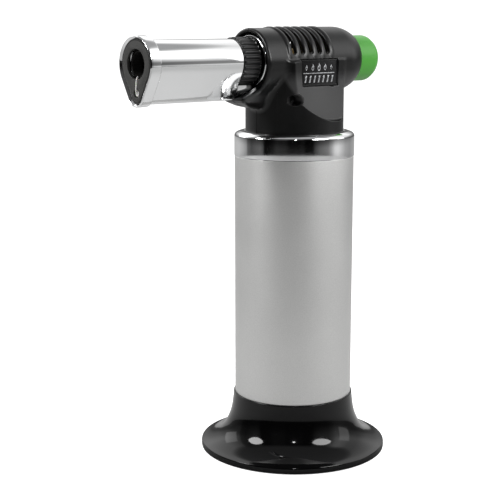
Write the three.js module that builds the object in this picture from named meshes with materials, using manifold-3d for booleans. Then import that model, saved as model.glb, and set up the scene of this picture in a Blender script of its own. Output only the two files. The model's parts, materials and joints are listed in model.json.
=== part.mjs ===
// Bench butane torch: round base, upright gas tank, moulded head, teardrop burner
// nozzle, fluted gas ring and rear ignition button.
// Millimetres, +Z up. Origin: centre of the base's underside, on the tank's axis.
// The burner axis is parallel to X, the nozzle points to -X, the button to +X.
import * as THREE from 'three';
import { mergeVertices } from 'three/addons/utils/BufferGeometryUtils.js';
import Module from 'manifold-3d';

const wasm = await Module();
wasm.setup();

// ---------------------------------------------------------------- dimensions
const AX = 186.5;            // burner axis height
const BASE_R = 44.5;         // flange radius
const BASE_TOP = 27.6;       // top edge of the base cup
const CUP_IN = 27.0;         // bore of the base cup
const TANK_R = 28.0;         // tank shell, outside
const TANK_IN = 26.8;        // tank shell, inside
const TANK_TOP = 142.1;      // top edge of the tank shell
const COLLAR_R = 28.2;
const COLLAR_TOP = 153.7;
const NECK_R = 23.0;         // round neck of the head
const HEAD_R = 15.4;         // barrel of the head over the ribs
const HEAD_R_FRONT = 14.8;   // in front of the ribs
const HEAD_R_BACK = 15.1;    // behind the ribs
const HEAD_FRONT = -28.0;    // mouth plane
const HEAD_BACK = 28.0;      // start of the rear cone
const RIM_X = 32.0;          // rear rim plane
const RIM_R = 12.1;
const CHEEK_Y = 15.4;        // flat sides of the head
const CHEEK = { x: 8, z: 187.5, r: 28.5 };
const WALL = 2.3;
const SLOT_X = [-12.8, -7.8, -2.7, 2.4, 7.4];
const SLOT_W = 2.1;
const BEAK_X = -37.2;        // tip of the lower lip
const SLEEVE_X = [-84.2, -38.4];
const BEZEL_X = [-89.5, -83.6];
const BTN_R = 10.9;
const BTN_X = 46.0;
const BTN_TRAVEL = 5.0;
const RING_R = 10.9;
const RING_X = [-38.0, -28.3];
const FLUTES = 28;
const GEAR_M = 0.8, GEAR_N = 24, PINION_N = 12, GEAR_X = [-13.3, -10.5];
const SPINDLE_Z = AX - (GEAR_M * (GEAR_N + PINION_N)) / 2 - 0.15;
const PLATE = { x0: -10.2, x1: 13.2, z0: 174.9, z1: 187.3 };

// ------------------------------------------------------------------- helpers
function prep(g) {
  g = g.index ? g.toNonIndexed() : g.clone();
  for (const k of Object.keys(g.attributes)) if (k !== 'position') g.deleteAttribute(k);
  return mergeVertices(g, 1e-5);
}
// (x, y, z) -> picked coordinates, an exact relabelling of axes
function remap(g, f) {
  const p = g.attributes.position;
  for (let i = 0; i < p.count; i++) {
    const [x, y, z] = f(p.getX(i), p.getY(i), p.getZ(i));
    p.setXYZ(i, x, y, z);
  }
  return g;
}
function outward(g) {
  // flips the faces when the enclosed volume comes out negative
  const p = g.attributes.position, ix = g.index.array;
  let v = 0;
  for (let i = 0; i < ix.length; i += 3) {
    const [a, b, c] = [ix[i], ix[i + 1], ix[i + 2]];
    v += p.getX(a) * (p.getY(b) * p.getZ(c) - p.getZ(b) * p.getY(c))
       - p.getY(a) * (p.getX(b) * p.getZ(c) - p.getZ(b) * p.getX(c))
       + p.getZ(a) * (p.getX(b) * p.getY(c) - p.getY(b) * p.getX(c));
  }
  if (v < 0) {
    const out = [];
    for (let i = 0; i < ix.length; i += 3) out.push(ix[i], ix[i + 2], ix[i + 1]);
    g.setIndex(out);
  }
  return g;
}
// profile of [r, h] pairs turned about Z (or X); closed on itself unless it meets the axis
function turned(profile, seg, f) {
  const pts = profile.map(([r, h]) => new THREE.Vector2(r, h));
  const onAxis = profile[0][0] === 0 && profile[profile.length - 1][0] === 0;
  if (!onAxis) pts.push(pts[0].clone());
  const g = prep(new THREE.LatheGeometry(pts, seg));
  return outward(dropFlat(remap(g, f)));
}
function dropFlat(g) {
  g = mergeVertices(g, 1e-5);
  const ix = g.index.array, out = [];
  for (let i = 0; i < ix.length; i += 3) {
    const [a, b, c] = [ix[i], ix[i + 1], ix[i + 2]];
    if (a !== b && b !== c && a !== c) out.push(a, b, c);
  }
  g.setIndex(out);
  return g;
}
const latheZ = (profile, seg = 24) => turned(profile, seg, (x, y, z) => [z, x, y]);
const latheX = (profile, seg = 28, ay = 0, az = AX) =>
  turned(profile, seg, (x, y, z) => [y, z + ay, x + az]);
// shape drawn in (Y, Z), swept from x0 to x1
function sweepX(shape, x0, x1, curve = 10) {
  const g = prep(new THREE.ExtrudeGeometry(shape, { depth: x1 - x0, bevelEnabled: false, curveSegments: curve }));
  return outward(dropFlat(remap(g, (x, y, z) => [z + x0, x, y])));
}
// shape drawn in (X, Y), swept from z0 to z1
function sweepZ(shape, z0, z1, curve = 10) {
  const g = prep(new THREE.ExtrudeGeometry(shape, { depth: z1 - z0, bevelEnabled: false, curveSegments: curve }));
  return outward(dropFlat(remap(g, (x, y, z) => [x, y, z + z0])));
}
// shape drawn in (Z, X), swept from y0 to y1
function sweepY(shape, y0, y1, curve = 10) {
  const g = prep(new THREE.ExtrudeGeometry(shape, { depth: y1 - y0, bevelEnabled: false, curveSegments: curve }));
  return outward(dropFlat(remap(g, (x, y, z) => [y, z + y0, x])));
}
function block(x0, x1, y0, y1, z0, z1) {
  const g = prep(new THREE.BoxGeometry(x1 - x0, y1 - y0, z1 - z0));
  return remap(g, (x, y, z) => [x < 0 ? x0 : x1, y < 0 ? y0 : y1, z < 0 ? z0 : z1]);
}
function poly(points) {
  const s = new THREE.Shape();
  points.forEach(([x, y], i) => (i ? s.lineTo(x, y) : s.moveTo(x, y)));
  s.closePath();
  return s;
}
function ringPts(r, n, phase = 0, cx = 0, cy = 0) {
  return Array.from({ length: n }, (_, i) => {
    const a = phase + (i / n) * Math.PI * 2;
    return [cx + r * Math.cos(a), cy + r * Math.sin(a)];
  });
}
// teardrop outline in (Y, Z): a large circle above, a small one below, joined by tangents
function teardrop(R, r, drop, n = 16, m = 6) {
  const a = Math.asin((R - r) / drop);            // tangent angle
  const pts = [];
  for (let i = 0; i <= n; i++) {
    const t = -a + (i / n) * (Math.PI + 2 * a);
    pts.push([R * Math.cos(t), AX + R * Math.sin(t)]);
  }
  for (let i = 0; i <= m; i++) {
    const t = Math.PI + a + (i / m) * (Math.PI - 2 * a);
    pts.push([r * Math.cos(t), AX - drop + r * Math.sin(t)]);
  }
  return pts;
}
function gearPts(n, m, cy, cz, phase) {
  const rp = (n * m) / 2, ra = rp + 0.85 * m, rf = rp - 1.1 * m, pts = [];
  const step = (Math.PI * 2) / n;
  for (let i = 0; i < n; i++) {
    const a = phase + i * step;
    for (const [r, o] of [[rf, -0.31], [ra, -0.115], [ra, 0.115], [rf, 0.31]]) {
      pts.push([cy + r * Math.cos(a + o * step), cz + r * Math.sin(a + o * step)]);
    }
  }
  return pts;
}
const M = (g) => {
  g = dropFlat(prep(g));
  return new wasm.Manifold(new wasm.Mesh({
    numProp: 3,
    vertProperties: new Float32Array(g.attributes.position.array),
    triVerts: new Uint32Array(g.index.array),
  }));
};
function G(m) {
  const k = m.getMesh();
  const g = new THREE.BufferGeometry();
  const n = k.numProp, pos = new Float32Array((k.vertProperties.length / n) * 3);
  for (let i = 0; i < pos.length / 3; i++) {
    pos[3 * i] = k.vertProperties[n * i];
    pos[3 * i + 1] = k.vertProperties[n * i + 1];
    pos[3 * i + 2] = k.vertProperties[n * i + 2];
  }
  g.setAttribute('position', new THREE.BufferAttribute(pos, 3));
  g.setIndex(Array.from(k.triVerts));
  return g;
}
const union = (...gs) => gs.map(M).reduce((a, b) => a.add(b));
const cut = (base, ...gs) => gs.map(M).reduce((a, b) => a.subtract(b), base);

const torch = new THREE.Group();
torch.name = 'butane_torch';
const LOOK = {
  gloss_black: [0x0b0b0c, 0.12, 0.0], matte_black: [0x1b1b1c, 0.55, 0.0],
  satin_alu: [0xb4b5b3, 0.42, 1.0], chrome: [0xdfe0e0, 0.08, 1.0],
  dark_face: [0x3c3c3b, 0.6, 0.2], green: [0x4fae42, 0.35, 0.0],
  ceramic: [0xe9e7e0, 0.35, 0.0], brass: [0xb98f45, 0.35, 1.0],
  steel: [0xa6a7a8, 0.35, 1.0], rubber: [0x151515, 0.8, 0.0],
  plate: [0x202022, 0.35, 0.3], ivory: [0xd9d4c4, 0.5, 0.0], red_wire: [0x9c2a22, 0.5, 0.0],
};
function add(name, g, look) {
  g = g instanceof THREE.BufferGeometry ? g : G(g);
  const flat = g.index ? g.toNonIndexed() : g;
  flat.computeVertexNormals();
  const [color, roughness, metalness] = LOOK[look];
  const mesh = new THREE.Mesh(flat, new THREE.MeshStandardMaterial({ color, roughness, metalness }));
  mesh.name = name;
  torch.add(mesh);
  return mesh;
}

// ---------------------------------------------------------------------- base
add('base', latheZ([
  [0, 0], [BASE_R, 0], [BASE_R, 2.6], [41.2, 3.9],
  [35.4, 7.4], [31.4, 13.6], [29.6, 19.6],
  [28.7, 27.0], [28.1, BASE_TOP], [CUP_IN, BASE_TOP], [CUP_IN, 3.0], [0, 3.0],
], 48), 'gloss_black');

// ---------------------------------------------------------------------- tank
add('tank_shell', latheZ([
  [TANK_IN, BASE_TOP], [TANK_R, BASE_TOP], [TANK_R, TANK_TOP], [TANK_IN, TANK_TOP],
], 48), 'satin_alu');
add('tank_bottom_cap', latheZ([
  [4.6, 6.0], [25.2, 6.0], [26.6, 7.4], [26.7, 32.0], [25.0, 32.0], [25.0, 34.0],
  [26.7, 34.0], [26.7, 38.0], [23.4, 38.0], [23.4, 9.0], [7.6, 9.0], [7.6, 14.0], [4.6, 14.0],
]), 'satin_alu');
add('tank_bottom_oring', latheZ(ringPts(0.7, 6, 0, 25.95, 33.0), 24), 'rubber');
add('tank_top_cap', latheZ([
  [5.2, 132.0], [23.4, 132.0], [26.7, 130.0], [26.7, 135.0], [25.0, 135.0], [25.0, 137.0],
  [26.7, 137.0], [26.7, TANK_TOP], [25.4, TANK_TOP], [25.4, 148.7], [22.4, 148.7], [22.4, 144.0],
  [9.6, 144.0], [9.6, 146.2], [5.2, 146.2],
]), 'satin_alu');
add('tank_top_oring', latheZ(ringPts(0.7, 6, 0, 25.95, 136.0), 24), 'rubber');
add('collar', latheZ([
  [25.6, TANK_TOP], [COLLAR_R, TANK_TOP], [COLLAR_R, 151.2], [27.7, 152.6], [26.5, 153.4], [25.2, COLLAR_TOP],
  [23.3, COLLAR_TOP], [23.3, 151.2], [25.6, 151.2],
], 48), 'chrome');

// -------------------------------------------------------------- refill valve
add('refill_valve_body', latheZ([
  [1.55, 4.6], [2.9, 4.6], [2.9, 6.0], [4.5, 6.0], [4.5, 17.6], [4.0, 18.2], [2.4, 18.2],
  [2.4, 17.2], [3.1, 17.2], [3.1, 9.4], [1.55, 9.4],
], 24), 'brass');
add('refill_gasket', latheZ([[4.6, 14.0], [7.2, 14.0], [7.2, 15.0], [4.6, 15.0]], 24), 'rubber');
add('refill_lock_nut', cut(M(sweepZ(poly(ringPts(8.0, 6)), 15.0, 17.4)),
  latheZ([[0, 14], [4.62, 14], [4.62, 18.4], [0, 18.4]], 24)), 'brass');
add('refill_stem', latheZ([
  [0, 3.9], [1.1, 3.9], [1.4, 4.3], [1.4, 9.6], [2.6, 9.6], [2.6, 11.0], [1.2, 11.0], [1.2, 14.6], [0, 14.6],
], 20), 'brass');
class Helix extends THREE.Curve {
  constructor(r, z0, z1, turns) { super(); Object.assign(this, { r, z0, z1, turns }); }
  getPoint(t, o = new THREE.Vector3()) {
    const a = t * this.turns * Math.PI * 2;
    return o.set(this.r * Math.cos(a), this.r * Math.sin(a), this.z0 + (this.z1 - this.z0) * t);
  }
}
function wire(curve, r, sides, steps) {
  const s = poly(ringPts(r, sides));
  return outward(dropFlat(prep(new THREE.ExtrudeGeometry(s, { steps, bevelEnabled: false, extrudePath: curve }))));
}
add('refill_spring', wire(new Helix(2.0, 11.4, 16.8, 4), 0.28, 5, 44), 'steel');

// --------------------------------------------------------------- outlet side
add('pickup_tube', latheZ([[1.0, 44], [2.0, 44], [2.0, 127.9], [1.0, 127.9]], 16), 'ivory');
add('valve_lock_nut', cut(M(sweepZ(poly(ringPts(9.0, 6)), 128.0, 131.9)),
  latheZ([[0, 127], [5.05, 127], [5.05, 133], [0, 133]], 32)), 'brass');
add('valve_block', cut(M(latheZ([
  [0, 128.0], [4.9, 128.0], [4.9, 146.2], [8.6, 146.2], [8.6, 150.2], [5.3, 150.2], [5.3, 178.6], [0, 178.6],
], 32)), latheX([[0, -8], [1.62, -8], [1.62, -1.5], [0, -1.5]], 24, 0, SPINDLE_Z)), 'brass');
add('gland_nut', cut(M(sweepX(poly(ringPts(3.6, 6, 0, 0, SPINDLE_Z)), -9.6, -4.0)),
  latheX([[0, -11], [1.62, -11], [1.62, -3], [0, -3]], 24, 0, SPINDLE_Z),
  latheZ([[0, 160], [5.6, 160], [5.6, 180], [0, 180]], 32)), 'brass');
add('valve_spindle', union(
  latheX([[0, -13.9], [1.2, -13.9], [1.5, -13.6], [1.5, -2.0], [0, -2.0]], 20, 0, SPINDLE_Z),
  sweepX(poly(gearPts(PINION_N, GEAR_M, 0, SPINDLE_Z, Math.PI / 2 + Math.PI / PINION_N)), ...GEAR_X)), 'brass');
add('burner_elbow', union(
  latheX([[0, -14.6], [5.2, -14.6], [5.2, -1.0], [4.4, -0.4], [0, -0.4]], 32),
  latheZ([[0, 178.6], [3.6, 178.6], [3.6, 184.0], [0, 184.0]], 24).translate(-4.6, 0, 0)), 'brass');

// --------------------------------------------------------------------- burner
add('gas_jet', latheX([
  [0.35, -22.0], [1.2, -22.0], [1.9, -20.6], [1.9, -17.0], [2.9, -17.0], [2.9, -14.6], [0.35, -14.6],
], 20), 'brass');
const AIR_HOLES = [40, 140, 220, 320].map((d) => {
  const a = (d * Math.PI) / 180;
  const g = block(-20.6, -18.9, -1.1, 1.1, 0, 9);
  return remap(g, (x, y, z) => [x, y * Math.cos(a) - z * Math.sin(a), AX + y * Math.sin(a) + z * Math.cos(a)]);
});
add('burner_tube', cut(M(latheX([
  [5.35, -87.2], [6.2, -87.2], [6.2, -10.0], [5.35, -10.0],
], 32)), ...AIR_HOLES), 'steel');
const HOLDER = ringPts(3.3, 8).map(([a, b]) => latheX([[0, -75], [0.65, -75], [0.65, -69], [0, -69]], 8, a, AX + b));
add('flame_holder', cut(M(latheX([[0, -73.5], [5.25, -73.5], [5.25, -71.0], [0, -71.0]], 32)),
  ...HOLDER, latheX([[0, -75], [1.3, -75], [1.3, -69], [0, -69]], 12)), 'brass');

const tear = (R, r, d, x0, x1) => sweepX(poly(teardrop(R, r, d)), x0, x1);
add('nozzle_sleeve', cut(M(tear(10.2, 4.8, 12.3, ...SLEEVE_X)), tear(9.4, 4.0, 12.3, -90, -30)), 'chrome');
add('nozzle_bezel', cut(M(tear(12.1, 5.9, 12.2, ...BEZEL_X)),
  tear(10.6, 4.5, 12.2, -90.5, -84.2), tear(10.28, 4.88, 12.3, -84.2, -80)), 'chrome');
const KEY = [
  block(-90, -86, -0.75, 0.75, AX - 11.6, AX - 5),
  latheX([[0, -90], [1.9, -90], [1.9, -86], [0, -86]], 20, 0, AX - 12.2),
];
add('face_plate', cut(M(tear(10.5, 4.4, 12.2, -88.9, -87.5)),
  latheX([[0, -90], [6.45, -90], [6.45, -86], [0, -86]], 32), ...KEY), 'dark_face');
add('sleeve_bulkhead', cut(M(tear(9.3, 3.9, 12.3, -44.0, -42.8)),
  latheX([[0, -45], [6.3, -45], [6.3, -42], [0, -42]], 32),
  latheX([[0, -45], [1.7, -45], [1.7, -42], [0, -42]], 20, 0, AX - 12.2)), 'steel');
add('electrode_insulator', latheX([
  [0.46, -88.0], [1.2, -88.0], [1.6, -87.5], [1.6, -42.0], [2.0, -42.0], [2.0, -41.0], [0, -41.0], [0, -86.6], [0.46, -86.6],
], 20, 0, AX - 12.2), 'ceramic');
add('electrode_wire', wire(new THREE.CatmullRomCurve3([
  [-86.8, -12.2], [-87.9, -12.2], [-88.6, -11.85], [-88.8, -11.1], [-88.75, -9.4], [-88.6, -7.6],
  [-88.3, -6.1], [-87.7, -5.0],
].map(([x, z]) => new THREE.Vector3(x, 0, AX + z))), 0.4, 8, 30), 'steel');

// ----------------------------------------------- mounting plate with its trough
const TR_Z = 175.45;
function halfRound(r, top) {
  const pts = [[r, top]];
  for (let i = 0; i <= 14; i++) {
    const t = -(i / 14) * Math.PI;
    pts.push([r * Math.cos(t), TR_Z + r * Math.sin(t)]);
  }
  pts.push([-r, top]);
  return poly(pts);
}
add('burner_mount_plate', union(
  latheX([[7.9, -27.4], [11.6, -27.4], [11.9, -27.0], [11.6, -26.5], [7.9, -26.5]], 40),
  latheX([[10.6, -26.6], [11.4, -26.6], [11.4, -22.6], [10.6, -22.6]], 40),
  sweepX(halfRound(5.0, 176.3), -37.9, -26.5))
  .subtract(M(sweepX(halfRound(4.3, 177.2), -40, -20)))
  .subtract(M(latheX([[0, -40], [11.7, -40], [11.7, -27.4], [0, -27.4]], 40)))
  .subtract(M(latheX([[0, -40], [10.6, -40], [10.6, -22], [0, -22]], 48)).subtract(M(latheX([[0, -27.4], [12, -27.4], [12, -26.5], [0, -26.5]], 48)))), 'chrome');

// ------------------------------------------------------------ gas control ring
const flutes = [];
for (let i = 0; i < FLUTES; i++) {
  const a = (i / FLUTES) * Math.PI * 2, h = Math.PI / FLUTES;
  for (const [r, o] of [[RING_R, -0.42], [RING_R, 0.42], [RING_R - 0.8, 0.72], [RING_R - 0.8, 1.28]]) {
    flutes.push([r * Math.cos(a + o * h), AX + r * Math.sin(a + o * h)]);
  }
}
add('control_ring', M(sweepX(poly(flutes), ...RING_X))
  .add(M(latheX([[0, RING_X[1] - 0.2], [7.6, RING_X[1] - 0.2], [7.6, -10.0], [0, -10.0]], 40)))
  .subtract(M(latheX([[0, -40], [6.4, -40], [6.4, -8], [0, -8]], 40)))
  .subtract(M(latheX([[0, -40], [9.3, -40], [9.3, -32.0], [0, -32.0]], 40)))
  , 'matte_black');
add('control_gear', cut(M(sweepX(poly(gearPts(GEAR_N, GEAR_M, 0, AX, -Math.PI / 2)), ...GEAR_X)),
  latheX([[0, -20], [7.66, -20], [7.66, -8], [0, -8]], 40)), 'ivory');

// -------------------------------------------------------------------- igniter
add('piezo_body', cut(M(block(3.0, 29.0, -4.2, 4.2, AX - 4.2, AX + 4.2)),
  block(14.0, 30.0, -2.8, 2.8, AX - 2.8, AX + 2.8)), 'matte_black');
add('piezo_plunger', block(20.5, 38.0, -2.6, 2.6, AX - 2.6, AX + 2.6), 'ivory');
add('button_return_spring', (() => {
  const h = wire(new Helix(4.6, 0, 3.15, 3.5), 0.35, 5, 44);
  return remap(h, (x, y, z) => [z + 34.45, x, y + AX]);
})(), 'steel');
add('ignition_button', latheX([
  [0, 38.0], [9.2, 38.0], [9.2, 24.4], [BTN_R - 0.3, 24.4], [BTN_R, 24.8], [BTN_R, 41.2],
  [10.5, 43.4], [9.0, 45.2], [6.6, BTN_X], [0, BTN_X],
], 32), 'green');
add('ground_strap', block(1.9, 2.7, -2.0, 2.0, 178.6, AX + 3.4), 'steel');
const lead = new THREE.CatmullRomCurve3([
  [5.6, 5.5, 186.0], [3.4, 8.0, 183.4], [-1.0, 9.6, 178.0], [-6.0, 9.2, 170.6], [-9.6, 6.4, 165.6], [-14.0, 1.8, 163.8],
  [-18.3, 0, 165.0], [-21.4, 0, 169.0], [-24.6, 0, 172.2], [-28.4, 0, 172.7], [-34.0, 0, 172.6], [-37.6, 0, 173.2], [-40.4, 0, 174.3],
].map(([x, y, z]) => new THREE.Vector3(x, y, z)));
add('ignition_lead', wire(lead, 0.85, 8, 36), 'red_wire');

// ----------------------------------------------------------------- head shells
const barrel = latheX([
  [0, HEAD_FRONT], [14.2, HEAD_FRONT], [HEAD_R_FRONT, -27.3], [HEAD_R_FRONT, -16.2], [HEAD_R, -15.6], [HEAD_R, 10.2],
  [HEAD_R_BACK, 10.8], [HEAD_R_BACK, HEAD_BACK], [14.4, 29.4], [13.3, 31.0], [RIM_R, RIM_X], [0, RIM_X],
], 40);
const neck = latheZ([
  [0, 148.7], [25.4, 148.7], [25.4, 151.2], [NECK_R, 151.2], [NECK_R, AX], [0, AX],
], 48);
// scooped cheeks: flat in the middle, then flaring gently outwards to a round edge
const cheekDisc = (side) => turned([
  [0, CHEEK_Y], [12, CHEEK_Y], [CHEEK.r, CHEEK_Y + 3.3], [CHEEK.r, 30], [0, 30],
], 48, (x, y, z) => [z + CHEEK.x, side * y, x + CHEEK.z]);
// lower lip: side view drawn in (X, Z), limited across by the teardrop section
const lipSide = sweepY(poly([
  [169.4, BEAK_X], [168.2, -35.8], [166.5, -32.0], [165.2, -27.0], [164.6, -22.0], [164.6, -14.0], [182.0, -14.0],
  [182.0, -24.6], [178.4, -25.6], [175.4, -28.0], [172.6, -32.2], [170.6, -36.4],
]), -18, 18);
const lip = M(lipSide).intersect(M(tear(14.2, 7.6, 14.4, -42, -10)));
let outer = M(barrel).add(M(neck).subtract(M(cheekDisc(1))).subtract(M(cheekDisc(-1)))).add(lip);
const lobe = (r, top, z, x0, x1) => {
  const pts = [[r, top]];
  for (let i = 0; i <= 12; i++) {
    const t = -(i / 12) * Math.PI;
    pts.push([r * Math.cos(t), z + r * Math.sin(t)]);
  }
  pts.push([-r, top]);
  return sweepX(poly(pts), x0, x1);
};
const cavity = [
  latheX([[0, -21.0], [13.05, -21.0], [13.05, 22.0], [0, 22.0]], 40),
  latheX([[0, -30], [13.05, -30], [13.05, -22.6], [0, -22.6]], 40),
  latheX([[0, -23], [10.5, -23], [10.5, -20.5], [0, -20.5]], 48),
  latheX([[0, 20], [11.1, 20], [11.1, 36], [0, 36]], 48),
  latheZ([[0, 148], [20.5, 148], [20.5, 156.6], [0, 156.6]], 40),
  sweepZ(poly([[-20.2, -8], [-17, -13], [17, -13], [20, -8], [20, 8], [17, 13], [-17, 13], [-20.2, 8]]), 156.0, 186.5),
  block(-21.4, -12, -4, 4, 163.4, 175),
  lobe(5.25, 178, 175.45, -41, -28.5),
  lobe(5.25, 180, 172.15, -29.5, -18),
  latheX([[0, -42], [12.6, -42], [12.6, -26.0], [0, -26.0]], 40),
];
for (const c of cavity) outer = outer.subtract(M(c));
for (const x of SLOT_X) {
  const pts = [];
  const a0 = (77.5 * Math.PI) / 180;
  for (let i = 0; i <= 12; i++) {
    const t = -a0 + (2 * a0 * i) / 12;
    pts.push([17.5 * Math.sin(t), AX + 17.5 * Math.cos(t)]);
  }
  for (let i = 12; i >= 0; i--) {
    const t = -a0 + (2 * a0 * i) / 12;
    pts.push([12 * Math.sin(t), AX + 12 * Math.cos(t)]);
  }
  outer = outer.subtract(M(sweepX(poly(pts), x - SLOT_W / 2, x + SLOT_W / 2)));
}
// screw pillars, and the pocket for the name plate
const SCREWS = [[-14.7, 169.2], [9.4, 177.0]];
const roundY = (x, z, r, y0, y1, n = 20) => sweepY(poly(ringPts(r, n, 0, z, x)), y0, y1);
outer = outer.add(M(roundY(9.4, 177.0, 3.3, -13.5, 13.5)));
outer = outer.add(M(roundY(-14.7, 169.2, 3.4, -17, -9.5)).intersect(M(neck)));
outer = outer.add(M(roundY(-14.7, 169.2, 3.4, 9.5, 17)).intersect(M(neck)));
outer = outer.subtract(M(block(PLATE.x0, PLATE.x1, -16, -CHEEK_Y + 0.9, PLATE.z0, PLATE.z1)));
for (const [x, z] of SCREWS) {
  outer = outer.subtract(M(roundY(x, z, 2.5, -24, -13.2)));
  outer = outer.subtract(M(roundY(x, z, 1.35, -14, 14.2)));
}
const halfL = outer.subtract(M(block(-60, 60, -0, 40, 140, 210)));
const halfR = outer.subtract(M(block(-60, 60, -40, 0, 140, 210)));
add('head_shell_left', halfL, 'matte_black');
add('head_shell_right', halfR, 'matte_black');
SCREWS.forEach(([x, z], i) => add(i ? 'head_screw_rear' : 'head_screw_front',
  cut(M(roundY(x, z, 2.3, -14.5, -13.2, 20)).add(M(roundY(x, z, 1.2, -13.3, i ? 11 : 12.5, 12))),
    block(x - 1.4, x + 1.4, -15.5, -13.9, z - 0.3, z + 0.3), block(x - 0.3, x + 0.3, -15.5, -13.9, z - 1.4, z + 1.4)), 'steel'));
add('name_plate', block(PLATE.x0 + 0.25, PLATE.x1 - 0.25, -CHEEK_Y + 0.3, -CHEEK_Y + 0.9, PLATE.z0 + 0.25, PLATE.z1 - 0.25), 'plate');

export default torch;
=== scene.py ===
import json
import math

import bpy
import numpy as np
from mathutils import Matrix, Vector


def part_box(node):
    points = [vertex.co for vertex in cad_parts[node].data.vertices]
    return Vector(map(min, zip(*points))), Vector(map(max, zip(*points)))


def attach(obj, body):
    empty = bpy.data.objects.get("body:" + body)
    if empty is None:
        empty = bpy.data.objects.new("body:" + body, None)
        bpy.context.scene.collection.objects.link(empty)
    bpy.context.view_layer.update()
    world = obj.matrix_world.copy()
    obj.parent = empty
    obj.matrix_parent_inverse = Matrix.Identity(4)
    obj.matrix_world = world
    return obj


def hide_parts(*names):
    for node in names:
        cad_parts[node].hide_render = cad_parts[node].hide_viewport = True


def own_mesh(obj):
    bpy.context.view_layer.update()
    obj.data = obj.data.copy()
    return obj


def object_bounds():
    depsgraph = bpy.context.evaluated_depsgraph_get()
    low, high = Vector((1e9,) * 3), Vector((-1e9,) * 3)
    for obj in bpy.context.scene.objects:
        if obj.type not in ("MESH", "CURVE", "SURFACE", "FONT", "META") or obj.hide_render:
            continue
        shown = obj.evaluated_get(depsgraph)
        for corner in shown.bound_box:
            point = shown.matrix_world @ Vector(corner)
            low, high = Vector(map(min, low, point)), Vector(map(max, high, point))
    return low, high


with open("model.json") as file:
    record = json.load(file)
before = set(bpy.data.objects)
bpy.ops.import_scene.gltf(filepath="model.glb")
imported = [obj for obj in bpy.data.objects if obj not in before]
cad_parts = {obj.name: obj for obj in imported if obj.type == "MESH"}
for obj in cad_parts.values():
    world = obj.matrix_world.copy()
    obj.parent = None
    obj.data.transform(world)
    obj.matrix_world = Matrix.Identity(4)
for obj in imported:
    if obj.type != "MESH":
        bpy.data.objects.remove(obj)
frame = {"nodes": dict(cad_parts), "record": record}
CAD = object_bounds()
CAD = [list(CAD[0]), list(CAD[1])]
NODES = frame["nodes"]
AX = 186.5            # burner axis height, mm
MM = 0.001


def zmid(node):
    lo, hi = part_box(node)
    return (lo.z + hi.z) / 2 * 1000


# ------------------------------------------------------------------ materials
def _noise(nt, coord, scale, detail=2.0, rough=0.5, stretch=None):
    n = nt.nodes.new("ShaderNodeTexNoise")
    n.inputs["Scale"].default_value = scale
    n.inputs["Detail"].default_value = detail
    n.inputs["Roughness"].default_value = rough
    if stretch:
        m = nt.nodes.new("ShaderNodeMapping")
        m.inputs["Scale"].default_value = stretch
        nt.links.new(coord, m.inputs["Vector"])
        coord = m.outputs["Vector"]
    nt.links.new(coord, n.inputs["Vector"])
    return n.outputs["Fac"]


def _range(nt, fac, a, b, lo, hi):
    r = nt.nodes.new("ShaderNodeMapRange")
    r.inputs["From Min"].default_value = a
    r.inputs["From Max"].default_value = b
    r.inputs["To Min"].default_value = lo
    r.inputs["To Max"].default_value = hi
    nt.links.new(fac, r.inputs["Value"])
    return r.outputs["Result"]


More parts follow.
